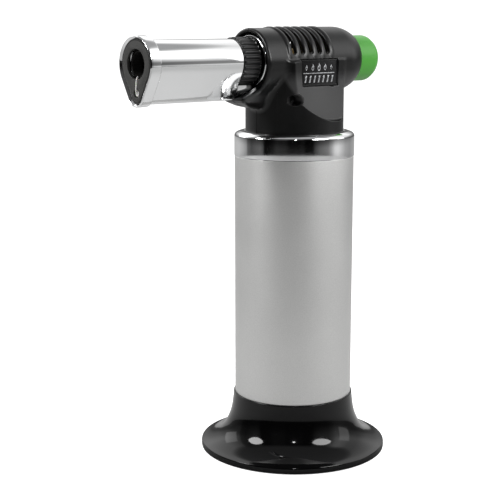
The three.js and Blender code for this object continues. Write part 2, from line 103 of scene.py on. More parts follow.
def pbr(name, color, rough, metal=0.0, tint=0.06, rvar=0.05, patch=60.0, grain=3500.0,
        bump=0.00002, strength=0.3, coat=0.0, coat_rough=0.05, spec=0.5, stretch=None,
        grain_tint=0.0, sub=0.0, ior=1.5, scratch=None, pale_edges=None, cheek_highlight=None):
    """colour with large soft patches and fine grain, roughness from the patches, bump from the grain"""
    m = bpy.data.materials.new(name)
    m.use_nodes = True
    nt = m.node_tree
    b = nt.nodes["Principled BSDF"]
    tc = nt.nodes.new("ShaderNodeTexCoord").outputs["Object"]
    big = _noise(nt, tc, patch, 3.0, 0.55)
    fine = _noise(nt, tc, grain, 2.0, 0.6, stretch)
    amount = _range(nt, big, 0.3, 0.7, 1 - tint, 1 + tint)
    if grain_tint:
        g = _range(nt, fine, 0.3, 0.7, 1 - grain_tint, 1 + grain_tint)
        mul = nt.nodes.new("ShaderNodeMath")
        mul.operation = "MULTIPLY"
        nt.links.new(amount, mul.inputs[0])
        nt.links.new(g, mul.inputs[1])
        amount = mul.outputs[0]
    vm = nt.nodes.new("ShaderNodeVectorMath")
    vm.operation = "SCALE"
    vm.inputs[0].default_value = color
    nt.links.new(amount, vm.inputs["Scale"])
    col = vm.outputs[0]
    if pale_edges:                                    # paler along convex edges
        geo = nt.nodes.new("ShaderNodeNewGeometry")
        e = _range(nt, geo.outputs["Pointiness"], pale_edges[1], pale_edges[2], 0.0, pale_edges[3])
        mix = nt.nodes.new("ShaderNodeMix")
        mix.data_type = "RGBA"
        nt.links.new(e, mix.inputs["Factor"])
        nt.links.new(col, mix.inputs["A"])
        mix.inputs["B"].default_value = (*pale_edges[0], 1)
        col = mix.outputs["Result"]
    if cheek_highlight:                                   # painted highlight: greyer inside a disc about Y, below a height
        xyz = nt.nodes.new("ShaderNodeSeparateXYZ")
        nt.links.new(tc, xyz.inputs[0])
        flat = nt.nodes.new("ShaderNodeCombineXYZ")
        nt.links.new(xyz.outputs["X"], flat.inputs["X"])
        nt.links.new(xyz.outputs["Z"], flat.inputs["Z"])
        far = nt.nodes.new("ShaderNodeVectorMath")
        far.operation = "DISTANCE"
        far.inputs[1].default_value = (cheek_highlight[0], 0, cheek_highlight[1])
        nt.links.new(flat.outputs[0], far.inputs[0])
        both = nt.nodes.new("ShaderNodeMath")
        both.operation = "MULTIPLY"
        nt.links.new(_range(nt, far.outputs["Value"], cheek_highlight[2] - 0.0012, cheek_highlight[2], 1.0, 0.0), both.inputs[0])
        nt.links.new(_range(nt, xyz.outputs["Z"], cheek_highlight[3] - 0.005, cheek_highlight[3], 1.0, 0.0), both.inputs[1])
        mix = nt.nodes.new("ShaderNodeMix")
        mix.data_type = "RGBA"
        nt.links.new(both.outputs[0], mix.inputs["Factor"])
        nt.links.new(col, mix.inputs["A"])
        mix.inputs["B"].default_value = (*cheek_highlight[4], 1)
        col = mix.outputs["Result"]
    nt.links.new(col, b.inputs["Base Color"])
    r = _range(nt, big, 0.3, 0.7, max(rough - rvar, 0.02), min(rough + rvar, 1.0))
    nt.links.new(r, b.inputs["Roughness"])
    b.inputs["Metallic"].default_value = metal
    b.inputs["Specular IOR Level"].default_value = spec
    b.inputs["IOR"].default_value = ior
    if coat:
        b.inputs["Coat Weight"].default_value = coat
        b.inputs["Coat Roughness"].default_value = coat_rough
    if sub:
        b.inputs["Subsurface Weight"].default_value = sub
        b.inputs["Subsurface Radius"].default_value = (0.002, 0.003, 0.001)
        b.inputs["Subsurface Scale"].default_value = 0.5
    h = fine
    if scratch:
        s = _noise(nt, tc, scratch[0], 1.0, 0.5, scratch[1])
        add = nt.nodes.new("ShaderNodeMath")
        add.operation = "ADD"
        nt.links.new(fine, add.inputs[0])
        nt.links.new(s, add.inputs[1])
        h = add.outputs[0]
    bp = nt.nodes.new("ShaderNodeBump")
    bp.inputs["Strength"].default_value = strength
    bp.inputs["Distance"].default_value = bump
    nt.links.new(h, bp.inputs["Height"])
    nt.links.new(bp.outputs["Normal"], b.inputs["Normal"])
    return m


M = {
    "base_plastic": pbr("gloss_black", (0.0014, 0.0014, 0.0015), 0.075, tint=0.10, rvar=0.02, patch=45,
                        grain=900, bump=0.000004, strength=0.25, spec=0.30),
    "tank_aluminium": pbr("satin_aluminium", (0.71, 0.71, 0.702), 0.47, 0.88, tint=0.02, rvar=0.02, patch=35,
                          grain=2300, bump=0.000035, strength=0.42, grain_tint=0.05),
    "chrome": pbr("chrome_plate", (0.88, 0.885, 0.89), 0.055, 1.0, tint=0.012, rvar=0.014, patch=70,
                  grain=500, bump=0.000002, strength=0.15),
    "head_plastic": pbr("satin_black_plastic", (0.0022, 0.0022, 0.0023), 0.335, tint=0.14, rvar=0.035, patch=80,
                        grain=4200, bump=0.000014, strength=0.36, spec=0.42, grain_tint=0.10,
                        pale_edges=((0.018, 0.018, 0.0185), 0.52, 0.60, 0.5),
                        # painted highlight: the scooped cheeks get a paler grey for the light they catch
                        cheek_highlight=(0.008, 0.1875, 0.0282, 0.182, (0.052, 0.052, 0.0525))),
    "ring_plastic": pbr("ribbed_black_plastic", (0.0028, 0.0028, 0.0029), 0.34, tint=0.12, rvar=0.04, patch=120,
                        grain=3800, bump=0.000014, strength=0.35,
                        pale_edges=((0.022, 0.022, 0.023), 0.51, 0.58, 0.6)),
    "button_plastic": pbr("green_plastic", (0.085, 0.395, 0.050), 0.36, tint=0.03, rvar=0.03, patch=70,
                          grain=3600, bump=0.000012, strength=0.3, sub=0.10, spec=0.45),
    "face_enamel": pbr("dark_enamel", (0.047, 0.047, 0.045), 0.52, 0.0, tint=0.07, rvar=0.05, patch=300,
                       grain=5200, bump=0.00002, strength=0.4, grain_tint=0.08, spec=0.4),
    "ceramic": pbr("white_ceramic", (0.78, 0.775, 0.75), 0.32, tint=0.03, rvar=0.04, patch=400,
                   grain=4000, bump=0.000008, strength=0.25, sub=0.08),
    "brass": pbr("turned_brass", (0.60, 0.42, 0.17), 0.28, 1.0, tint=0.06, rvar=0.06, patch=120,
                 grain=2500, bump=0.000008, strength=0.3),
    "steel": pbr("plain_steel", (0.48, 0.48, 0.475), 0.30, 1.0, tint=0.05, rvar=0.06, patch=150,
                 grain=2600, bump=0.000008, strength=0.3),
    "rubber": pbr("black_rubber", (0.012, 0.012, 0.012), 0.72, tint=0.15, rvar=0.06, patch=200,
                  grain=2500, bump=0.00003, strength=0.4),
    "ivory_plastic": pbr("ivory_plastic", (0.62, 0.58, 0.47), 0.42, tint=0.04, rvar=0.05, patch=120,
                         grain=3000, bump=0.000012, strength=0.3, sub=0.1),
    "plate_metal": pbr("dark_anodised", (0.006, 0.006, 0.0065), 0.22, 0.0, tint=0.12, rvar=0.04, patch=400,
                       grain=6000, bump=0.00001, strength=0.3),
    "plate_silver": pbr("silver_mark", (0.72, 0.73, 0.75), 0.24, 1.0, tint=0.08, rvar=0.05, patch=500,
                        grain=5000, bump=0.000008, strength=0.3),
    "lead_insulation": pbr("red_insulation", (0.26, 0.022, 0.016), 0.38, tint=0.08, rvar=0.05, patch=200,
                           grain=2500, bump=0.000015, strength=0.3),
    # near-black steel: painted shade for the parts deep inside the nozzle
    "soot_steel": pbr("painted_shade_steel", (0.006, 0.0055, 0.005), 0.75, 0.0, tint=0.25, rvar=0.08, patch=250,
                      grain=2500, bump=0.00003, strength=0.4),
    # dark screw steel: painted shade for the screws deep in their holes
    "dark_screw": pbr("screw_painted_dark", (0.05, 0.05, 0.05), 0.38, 1.0, tint=0.12, rvar=0.06, patch=300,
                      grain=3000, bump=0.000012, strength=0.3),
}


# -------------------------------------------------------------------- meshes
def link(o):
    bpy.context.scene.collection.objects.link(o)
    return o


def make(name, verts, faces, mat, body, slot, replaces=(), sharp=32.0, normals=None, weighted=True):
    """a mesh in millimetres in the row frame, riding on body"""
    me = bpy.data.meshes.new(name)
    v = np.asarray(verts, float) * MM
    me.from_pydata(v.tolist(), [], [list(map(int, f)) for f in faces])
    me.validate()
    me.polygons.foreach_set("use_smooth", [True] * len(me.polygons))
    if sharp:
        me.set_sharp_from_angle(angle=math.radians(sharp))
    me.materials.append(M[mat])
    o = link(bpy.data.objects.new(name, me))
    if normals is not None:
        me.normals_split_custom_set_from_vertices(np.asarray(normals, float).tolist())
    elif weighted:
        w = o.modifiers.new("wn", "WEIGHTED_NORMAL")
        w.keep_sharp = True
        w.weight = 80
    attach(o, body)
    if replaces:
        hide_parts(*replaces)
    return o


def rounded(pts, closed=True, n=5):
    """polyline of (r, h) or (r, h, radius): a fillet of that radius at each corner that has one"""
    out = []
    N = len(pts)
    for i, p in enumerate(pts):
        rad = p[2] if len(p) > 2 else 0.0
        p2 = np.array(p[:2], float)
        if rad <= 0 or (not closed and i in (0, N - 1)):
            out.append(tuple(p2))
            continue
        a = np.array(pts[i - 1][:2], float) - p2
        b = np.array(pts[(i + 1) % N][:2], float) - p2
        la, lb = np.linalg.norm(a), np.linalg.norm(b)
        a, b = a / la, b / lb
        cosang = np.clip(a @ b, -1, 1)
        half = math.acos(cosang) / 2
        t = min(rad / math.tan(half), la * 0.49, lb * 0.49)
        r = t * math.tan(half)
        c = p2 + (a + b) / np.linalg.norm(a + b) * (r / math.sin(half))
        s, e = p2 + a * t - c, p2 + b * t - c
        a0, a1 = math.atan2(s[1], s[0]), math.atan2(e[1], e[0])
        d = (a1 - a0 + math.pi) % (2 * math.pi) - math.pi
        for k in range(n + 1):
            th = a0 + d * k / n
            out.append((c[0] + r * math.cos(th), c[1] + r * math.sin(th)))
    return out


def turn(profile, seg=128, axis="Z", cy=0.0, cz=AX, closed=True):
    """profile of (r, h) turned about Z, or about the line along X through (cy, cz)"""
    verts, faces, rings = [], [], []
    for r, h in profile:
        if r < 1e-6:
            rings.append([len(verts)])
            verts.append((0, 0, h))
        else:
            rings.append(list(range(len(verts), len(verts) + seg)))
            for k in range(seg):
                a = 2 * math.pi * k / seg
                verts.append((r * math.cos(a), r * math.sin(a), h))
    pairs = list(zip(rings, rings[1:]))
    if closed and not (len(rings[0]) == 1 and len(rings[-1]) == 1):
        pairs.append((rings[-1], rings[0]))
    for A, B in pairs:
        for k in range(seg):
            k2 = (k + 1) % seg
            if len(A) == 1 and len(B) == 1:
                break
            if len(A) == 1:
                faces.append((A[0], B[k2], B[k]))
            elif len(B) == 1:
                faces.append((A[k], A[k2], B[0]))
            else:
                faces.append((A[k], A[k2], B[k2], B[k]))
    v = np.array(verts, float)
    if axis == "X":
        v = np.stack([v[:, 2], v[:, 0] + cy, v[:, 1] + cz], 1)
    elif axis == "Y":
        v = np.stack([v[:, 1] + cy, v[:, 2], v[:, 0] + cz], 1)
    return v, faces


def volume(v, faces):
    s = 0.0
    for f in faces:
        a = v[f[0]]
        for i in range(1, len(f) - 1):
            s += np.dot(a, np.cross(v[f[i]], v[f[i + 1]]))
    return s / 6


def outward(v, faces):
    v = np.asarray(v, float)
    if volume(v, faces) < 0:
        faces = [tuple(reversed(f)) for f in faces]
    return v, faces


def join(*parts):
    V, F, n = [], [], 0
    for v, f in parts:
        v, f = outward(v, f)
        V.append(v)
        F += [tuple(i + n for i in q) for q in f]
        n += len(v)
    return np.concatenate(V), F


def tear_ring(R, r, drop, n=72, m=30):
    a = math.asin((R - r) / drop)
    pts = [(R * math.cos(-a + i / n * (math.pi + 2 * a)), AX + R * math.sin(-a + i / n * (math.pi + 2 * a)))
           for i in range(n + 1)]
    pts += [(r * math.cos(math.pi + a + i / m * (math.pi - 2 * a)), AX - drop + r * math.sin(math.pi + a + i / m * (math.pi - 2 * a)))
            for i in range(m + 1)]
    return pts


def tear_loft(R, r, drop, profile):
    """closed profile of (x, offset) swept round the teardrop outline"""
    rings = [[(x, y, z) for y, z in tear_ring(R + o, r + o, drop)] for x, o in profile]
    n = len(rings[0])
    v = [p for ring in rings for p in ring]
    f = []
    for i in range(len(rings)):
        j = (i + 1) % len(rings)
        for k in range(n):
            k2 = (k + 1) % n
            f.append((i * n + k, i * n + k2, j * n + k2, j * n + k))
    return outward(v, f)


def tube(path, r, sides=12, caps=True, radii=None):
    """round tube along a list of points, with steady frames and closed ends"""
    P = np.asarray(path, float)
    T = np.gradient(P, axis=0)
    T /= np.linalg.norm(T, axis=1)[:, None]
    u = np.cross(T[0], [0.123, 0.456, 0.88])
    u /= np.linalg.norm(u)
    verts, faces = [], []
    for i in range(len(P)):
        u = u - T[i] * (u @ T[i])
        u /= np.linalg.norm(u)
        w = np.cross(T[i], u)
        rr = radii[i] if radii is not None else r
        for k in range(sides):
            a = 2 * math.pi * k / sides
            verts.append(P[i] + rr * (u * math.cos(a) + w * math.sin(a)))
    for i in range(len(P) - 1):
        for k in range(sides):
            k2 = (k + 1) % sides
            faces.append((i * sides + k, i * sides + k2, (i + 1) * sides + k2, (i + 1) * sides + k))
    if caps:
        faces.append(tuple(reversed(range(sides))))
        faces.append(tuple(range((len(P) - 1) * sides, len(P) * sides)))
    return outward(verts, faces)


def spline(points, n):
    """smooth curve through the points, n samples"""
    P = np.asarray(points, float)
    P = np.vstack([2 * P[0] - P[1], P, 2 * P[-1] - P[-2]])
    d = np.sqrt(np.linalg.norm(np.diff(P, axis=0), axis=1))
    t = np.concatenate([[0], np.cumsum(d)])
    out = []
    for s in np.linspace(t[1], t[-2], n):
        i = int(np.clip(np.searchsorted(t, s, side="right") - 1, 1, len(P) - 3))
        t0, t1, t2, t3 = t[i - 1:i + 3]
        p0, p1, p2, p3 = P[i - 1:i + 3]
        a1 = (t1 - s) / (t1 - t0) * p0 + (s - t0) / (t1 - t0) * p1
        a2 = (t2 - s) / (t2 - t1) * p1 + (s - t1) / (t2 - t1) * p2
        a3 = (t3 - s) / (t3 - t2) * p2 + (s - t2) / (t3 - t2) * p3
        b1 = (t2 - s) / (t2 - t0) * a1 + (s - t0) / (t2 - t0) * a2
        b2 = (t3 - s) / (t3 - t1) * a2 + (s - t1) / (t3 - t1) * a3
        out.append((t2 - s) / (t2 - t1) * b1 + (s - t1) / (t2 - t1) * b2)
    return np.array(out)


def filled(outlines, depth, bevel, res=2):
    """flat shape with holes, drawn in (u, v), thickness depth, edges rounded by bevel: verts (u, v, w)"""
    cu = bpy.data.curves.new("tmp", "CURVE")
    cu.dimensions = "2D"
    cu.fill_mode = "BOTH"
    for pts in outlines:
        s = cu.splines.new("POLY")
        s.points.add(len(pts) - 1)
        for p, (a, b) in zip(s.points, pts):
            p.co = (a, b, 0, 1)
        s.use_cyclic_u = True
    cu.extrude = depth / 2 - bevel
    cu.bevel_depth = bevel
    cu.bevel_resolution = res
    cu.offset = -bevel
    o = link(bpy.data.objects.new("tmp", cu))
    bpy.context.view_layer.update()
    me = bpy.data.meshes.new_from_object(o.evaluated_get(bpy.context.evaluated_depsgraph_get()))
    co = np.array([v.co for v in me.vertices], float)
    f = [tuple(p.vertices) for p in me.polygons]
    bpy.data.objects.remove(o)
    bpy.data.curves.remove(cu)
    bpy.data.meshes.remove(me)
    # weld the walls to the caps
    key = {}
    idx = np.zeros(len(co), int)
    keep = []
    for i, c in enumerate(np.round(co, 4)):
        k = tuple(c)
        if k not in key:
            key[k] = len(keep)
            keep.append(i)
        idx[i] = key[k]
    faces = []
    for q in f:
        g = []
        for i in q:
            j = int(idx[i])
            if not g or g[-1] != j:
                g.append(j)
        if len(g) > 2 and g[0] == g[-1]:
            g.pop()
        if len(set(g)) > 2:
            faces.append(tuple(g))
    return co[keep], faces


# ------------------------------------------------------------------------ base
flare = spline([(44.25, 3.05), (41.2, 3.9), (38.2, 5.35), (35.4, 7.4), (33.1, 10.2), (31.4, 13.6), (30.3, 16.6),
                (29.6, 19.6), (29.1, 23.2), (28.72, 26.9)], 46)
prof = [(0, 0.35), (36.0, 0.35), (36.4, 0.0), (43.9, 0.0), (44.35, 0.18), (44.5, 0.7), (44.5, 2.35), (44.42, 2.75)]
prof += [tuple(p) for p in flare]
prof += rounded([(28.72, 26.9), (28.66, 27.6, 0.3), (27.0, 27.6, 0.35), (27.0, 24.0)], closed=False)[1:-1]
prof += [(27.0, 24.0), (27.0, 3.6), (26.4, 3.0), (0, 3.0)]
v, f = turn(prof, 192)
v, f = outward(v, f)
make("stand_base", v, f, "base_plastic", "stand", "base_plastic", ["base"], sharp=38, weighted=False)

# ------------------------------------------------------------------------ tank
v, f = turn(rounded([(26.8, 27.6), (28.0, 27.6, 0.25), (28.0, 142.1, 0.2), (26.8, 142.1)]), 192)
v, f = outward(v, f)
make("tank_sleeve", v, f, "tank_aluminium", "torch", "tank_aluminium", ["tank_shell"], weighted=False)
v, f = turn(rounded([(4.6, 6.0, .2), (25.2, 6.0, 0.9), (26.6, 7.4, 0.5), (26.7, 32.0, .1), (25.0, 32.0), (25.0, 34.0),
                     (26.7, 34.0, .1), (26.7, 38.0), (23.4, 38.0), (23.4, 9.0), (7.6, 9.0), (7.6, 14.0, .2), (4.6, 14.0)]), 144)
v, f = outward(v, f)
make("tank_foot_cap", v, f, "tank_aluminium", "torch", "tank_aluminium", ["tank_bottom_cap"], weighted=False)
# collar: rolled chrome ring with a thin seam under it
v, f = turn(rounded([(25.6, 142.1), (27.85, 142.1), (27.85, 142.35), (28.2, 142.45, 0.1), (28.2, 152.7, 2.0), (25.6, 153.7, 1.2), (23.9, 153.7, 0.4),
                     (23.3, 153.3, 0.1), (23.3, 151.2), (25.6, 151.2)], n=9), 192)
v, f = outward(v, f)
make("collar_ring", v, f, "chrome", "torch", "chrome", ["collar"], weighted=False)

# --------------------------------------------------------------------- nozzle
SL = (10.2, 4.8, 12.3)
lo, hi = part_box("nozzle_sleeve")
x0, x1 = lo.x * 1000, hi.x * 1000
v, f = tear_loft(*SL, rounded([(x0, 0), (x1, 0, 0.35), (x1, -0.8, 0.3), (x0, -0.8)], n=4))
make("sleeve_shell", v, f, "chrome", "torch", "chrome", ["nozzle_sleeve"], weighted=False)
lo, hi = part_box("nozzle_bezel")
x0, x1 = lo.x * 1000, hi.x * 1000
BZ = (12.1, 5.9, 12.2)
v, f = tear_loft(*BZ, rounded([(x0 + 0.25, -0.75, 0.5), (x0, -0.45, 0.35), (x0 + 0.55, 0, 0.5), (x0 + 1.4, 0, 0.5), (x1 - 0.35, -0.12, 0.5), (x1, -0.5, 0.35), (x1, -1.76, .15),
                               (-84.2, -1.76), (-84.2, -1.42), (x0 + 0.9, -1.42, 0.3)], n=5))
make("bezel_ring", v, f, "chrome", "torch", "chrome", ["nozzle_bezel"], weighted=False)
# thin black gasket line between the bezel and the plate
v, f = tear_loft(10.55, 4.35, 12.2, rounded([(x0 + 0.75, 0.1, 0.1), (x0 + 0.75, -0.62, 0.1), (x0 + 1.9, -0.62), (x0 + 1.9, 0.1)], n=3))
make("plate_gasket", v, f, "rubber", "torch", "rubber", (), weighted=False)
# dark plate with the burner hole and its keyhole slot
circ = [(6.45 * math.cos(t), 6.45 * math.sin(t)) for t in np.radians(np.linspace(-90 + 6.68, 270 - 6.68, 90))]
circ += [(1.9 * math.cos(t), -12.2 + 1.9 * math.sin(t)) for t in np.radians(np.linspace(113.2, 426.8, 34))]
outer = [(y, z - AX) for y, z in tear_ring(9.98, 3.78, 12.2, 80, 30)]
v, f = filled([outer, circ], 1.4, 0.16, 2)
v = np.stack([v[:, 2] - 88.2, v[:, 0], v[:, 1] + AX], 1)
v, f = outward(v, f)
make("burner_plate", v, f, "face_enamel", "torch", "face_enamel", ["face_plate"], weighted=False)
# burner tube, open and painted near black as painted shade, and the holder inside it
v, f = turn(rounded([(5.35, -87.2, 0.2), (6.2, -87.2, 0.25), (6.2, -24.0), (5.35, -24.0)], n=3), 96, "X")
holes_v, holes_f = v, f
make("burner_pipe", *outward(v, f), "soot_steel", "torch", "steel", (), weighted=False)
# the tube, the flame holder and the bulkhead inside the nozzle get the same painted shade
for n in ("burner_tube", "flame_holder", "sleeve_bulkhead"):
    NODES[n].data.materials.clear()
    NODES[n].data.materials.append(M["soot_steel"])
# ceramic insulator with its flared tip, and the bent electrode
v, f = turn(rounded([(0.46, -88.35, 0.1), (1.1, -88.45, 0.3), (1.66, -87.9, 0.5), (1.66, -42.0), (2.0, -42.0, 0.15), (2.0, -41.0, 0.2), (0, -41.0), (0, -86.6), (0.46, -86.6)], closed=False, n=4), 40, "X", 0, AX - 12.2)
make("spark_insulator", *outward(v, f), "ceramic", "torch", "ceramic", ["electrode_insulator"], weighted=False)
pts = [[-86.9, -12.2], [-87.9, -12.2], [-88.55, -11.85], [-88.8, -11.1], [-88.75, -9.4], [-88.6, -7.6],
       [-88.3, -6.1], [-87.7, -5.0]]
path = spline([(x, 0, AX + z) for x, z in pts], 60)
rad = np.full(60, 0.42)
rad[-4:] = [0.41, 0.38, 0.32, 0.2]
v, f = tube(path, 0.42, 14, radii=rad)
make("spark_electrode", v, f, "ceramic", "torch", "steel", ["electrode_wire"], sharp=50)

# --------------------------------------------------- mounting plate and trough
v1, f1 = turn(rounded([(7.9, -27.4, 0.1), (11.5, -27.4, 0.3), (11.9, -27.0, 0.3), (11.75, -26.5, .2), (7.9, -26.5, 0.1)], n=4), 144, "X")
v2, f2 = turn(rounded([(10.6, -26.6), (11.4, -26.6), (11.4, -22.6, 0.2), (10.6, -22.6, 0.2)], n=3), 144, "X")
TR = 175.45
sec = []
for k in range(25):
    t = -math.pi * k / 24
    sec.append((5.0 * math.cos(t), TR + 5.0 * math.sin(t)))
sec += [(-5.0, 176.15), (-4.85, 176.3), (-4.45, 176.3), (-4.3, 176.15)]
for k in range(25):
    t = -math.pi + math.pi * k / 24
    sec.append((4.3 * math.cos(t), TR + 4.3 * math.sin(t)))
sec += [(4.3, 176.15), (4.45, 176.3), (4.85, 176.3), (5.0, 176.15)]
ns = len(sec)
cy, cz = 0.0, TR
xs = [(-37.9, 0.12), (-37.78, 0.0), (-27.0, 0.0), (-26.5, 0.0)]
vt, ft = [], []
for x, shrink in xs:
    for y, z in sec:
        vt.append((x, y, z))
for i in range(len(xs) - 1):
    for k in range(ns):
        k2 = (k + 1) % ns
        ft.append((i * ns + k, i * ns + k2, (i + 1) * ns + k2, (i + 1) * ns + k))
for i in (0, len(xs) - 1):                       # strip caps: the wall is thin, so it is paired across
    half = 25
    A = [i * ns + k for k in range(half)]
    B = [i * ns + 29 + (half - 1 - k) for k in range(half)]
    for k in range(half - 1):
        q = (A[k], A[k + 1], B[k + 1], B[k])
        ft.append(q if i else tuple(reversed(q)))
    e1 = (i * ns + 24, i * ns + 25, i * ns + 26, i * ns + 27, i * ns + 28, i * ns + 29)
    e2 = (i * ns + 53, i * ns + 54, i * ns + 55, i * ns + 56, i * ns + 57, i * ns + 0)
    ft.append(e1 if i else tuple(reversed(e1)))
    ft.append(e2 if i else tuple(reversed(e2)))
v, f = join((v1, f1), (v2, f2), (np.array(vt), ft))
make("mount_flange", v, f, "chrome", "torch", "chrome", ["burner_mount_plate"], sharp=35, weighted=False)

# ------------------------------------------------------------- gas control ring
N_FL, PER = 28, 14
loop = [(-38.0, 9.3, 0), (-38.0, 9.95, 0.0), (-37.86, 10.35, .25), (-37.5, 10.72, .7), (-37.0, 10.88, 1), (-36.4, 10.9, 1), (-29.9, 10.9, 1), (-29.2, 10.88, 1),
        (-28.75, 10.7, .7), (-28.4, 10.3, .25), (-28.3, 9.9, 0), (-28.3, 7.9, 0), (-28.1, 7.6, 0), (-12.0, 7.6, 0), (-10.2, 7.6, 0), (-10.0, 7.4, 0),
        (-10.0, 6.4, 0), (-32.0, 6.4, 0), (-32.0, 9.2, 0)]
cnt = N_FL * PER
prof_f = []
for k in range(cnt):
    p = (k % PER) / PER
    # crest about 45% of the pitch, rounded groove between
    s = 0.5 - 0.5 * math.cos(2 * math.pi * p)
    prof_f.append(min(1.0, max(0.0, (s - 0.22) / 0.5)) ** 1.0)
prof_f = np.array(prof_f)
prof_f = (np.roll(prof_f, 1) + 2 * prof_f + np.roll(prof_f, -1)) / 4
v, f = [], []
for x, r, w in loop:
    for k in range(cnt):
        a = 2 * math.pi * (k + 0.5 - PER / 2) / cnt
        rr = r - 0.8 * w * (1 - prof_f[k])
        v.append((x, rr * math.cos(a), AX + rr * math.sin(a)))
for i in range(len(loop)):
    j = (i + 1) % len(loop)
    for k in range(cnt):
        k2 = (k + 1) % cnt
        f.append((i * cnt + k, i * cnt + k2, j * cnt + k2, j * cnt + k))
v, f = outward(v, f)
make("gas_ring_knob", v, f, "ring_plastic", "ring", "head_plastic", ["control_ring"], sharp=50)

# ---------------------------------------------------------------------- button
v, f = turn(rounded([(0, 38.0), (9.2, 38.0), (9.2, 24.4), (10.9, 24.4, 0.3), (10.9, 42.6, 2.8), (8.9, 46.0, 2.6), (5.5, 45.97), (0, 45.9)],
                    closed=False, n=10), 128, "X")
make("push_button", *outward(v, f), "button_plastic", "button", "button_plastic", ["ignition_button"], weighted=False)
t = np.linspace(0, 1, 260)
turns = 6.5
x = 29.55 + 8.0 * np.clip((t * turns - 0.7) / (turns - 1.4), 0, 1)
ang = 2 * math.pi * turns * t
v, f = tube(np.stack([x, 4.6 * np.cos(ang), AX + 4.6 * np.sin(ang)], 1), 0.35, 8)
spring = make("button_coil", v, f, "steel", "torch", "steel", ["button_return_spring"], sharp=60)
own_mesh(spring)

# ---------------------------------------------------------------- ignition lead
lead = [(5.6, 5.5, 186.0), (3.4, 8.0, 183.4), (-1.0, 9.6, 178.0), (-6.0, 9.2, 170.6), (-9.6, 6.4, 165.6), (-14.0, 1.8, 163.8),
        (-18.3, 0, 165.0), (-21.4, 0, 169.0), (-24.6, 0, 172.2), (-28.4, 0, 172.7), (-34.0, 0, 172.6), (-37.6, 0, 173.2), (-40.4, 0, 174.3)]
v, f = tube(spline(lead, 120), 0.85, 14)
make("spark_lead", v, f, "lead_insulation", "torch", "lead_insulation", ["ignition_lead"], sharp=60)

# ---------------------------------------------------------------------- screws
for nm, node, (sx, sz), deep in (("screw_front", "head_screw_front", (-14.7, 169.2), 12.5), ("screw_rear", "head_screw_rear", (9.4, 177.0), 11.0)):
    ring = [(2.3 * math.cos(a), 2.3 * math.sin(a)) for a in np.linspace(0, 2 * math.pi, 40, endpoint=False)]
    w_, l_ = 0.28, 1.35
    cross = [(w_, l_), (-w_, l_), (-w_, w_), (-l_, w_), (-l_, -w_), (-w_, -w_), (-w_, -l_), (w_, -l_), (w_, -w_), (l_, -w_), (l_, w_), (w_, w_)]
    va, fa = filled([ring, cross], 0.6, 0.08, 1)
    va = np.stack([va[:, 0] + sx, va[:, 2] - 14.2, va[:, 1] + sz], 1)
    vb, fb = turn([(0, -13.89), (2.25, -13.89), (2.25, -13.2), (1.2, -13.2), (1.2, deep - 0.8), (0.5, deep), (0, deep)], 32, "Y", sx, sz)
    v, f = join((va, fa), (vb, fb))
    # the screw heads carry painted shade, dark for their recesses
    make(nm, v, f, "dark_screw", "torch", "steel", [node], sharp=40, weighted=False)


# --------------------------------------------------------------- moulded head
def smin(a, b, k):
    h = np.clip(0.5 + 0.5 * (b - a) / k, 0, 1)
    return b * (1 - h) + a * h - k * h * (1 - h)


def smax(a, b, k):
    return -smin(-a, -b, k)


def capsule2(y, z, R, r, drop):
    """teardrop outline: large circle at z 0, small one at -drop"""
    p0, p1 = np.abs(y), -z
    b = (R - r) / drop
    a = math.sqrt(1 - b * b)
    k = -b * p0 + a * p1
    d = a * p0 + b * p1 - R
    d = np.where(k < 0, np.hypot(p0, p1) - R, d)
    return np.where(k > a * drop, np.hypot(p0, p1 - drop) - r, d)


def polygon2(x, z, pts):
    d = np.full(x.shape, 1e9)
    inside = np.zeros(x.shape, bool)
    n = len(pts)
    for i in range(n):
        (ax, az), (bx, bz) = pts[i], pts[i - 1]
        ex, ez = bx - ax, bz - az
        wx, wz = x - ax, z - az
        t = np.clip((wx * ex + wz * ez) / (ex * ex + ez * ez), 0, 1)
        d = np.minimum(d, (wx - ex * t) ** 2 + (wz - ez * t) ** 2)
        c = ((az > z) != (bz > z)) & (x < (bx - ax) * (z - az) / (bz - az + 1e-12) + ax)
        inside ^= c
    return np.where(inside, -1, 1) * np.sqrt(d)


LIP = [(-37.2, 169.4), (-35.8, 168.2), (-32.0, 166.5), (-27.0, 165.2), (-22.0, 164.6), (-14.0, 164.6), (-14.0, 182.0),
       (-24.6, 182.0), (-25.6, 178.4), (-28.0, 175.4), (-32.2, 172.6), (-36.4, 170.6)]
SLOT_X = [-12.8, -7.8, -2.7, 2.4, 7.4]
PL = (-10.2, 13.2, 174.9, 187.3)
SCREWS = [(-14.7, 169.2), (9.4, 177.0)]


def rbox(x, y, hx, hy, r):
    qx, qy = np.abs(x) - hx + r, np.abs(y) - hy + r
    return np.hypot(np.maximum(qx, 0), np.maximum(qy, 0)) + np.minimum(np.maximum(qx, qy), 0) - r


def sstep(t):
    t = np.clip(t, 0, 1)
    return t * t * (3 - 2 * t)


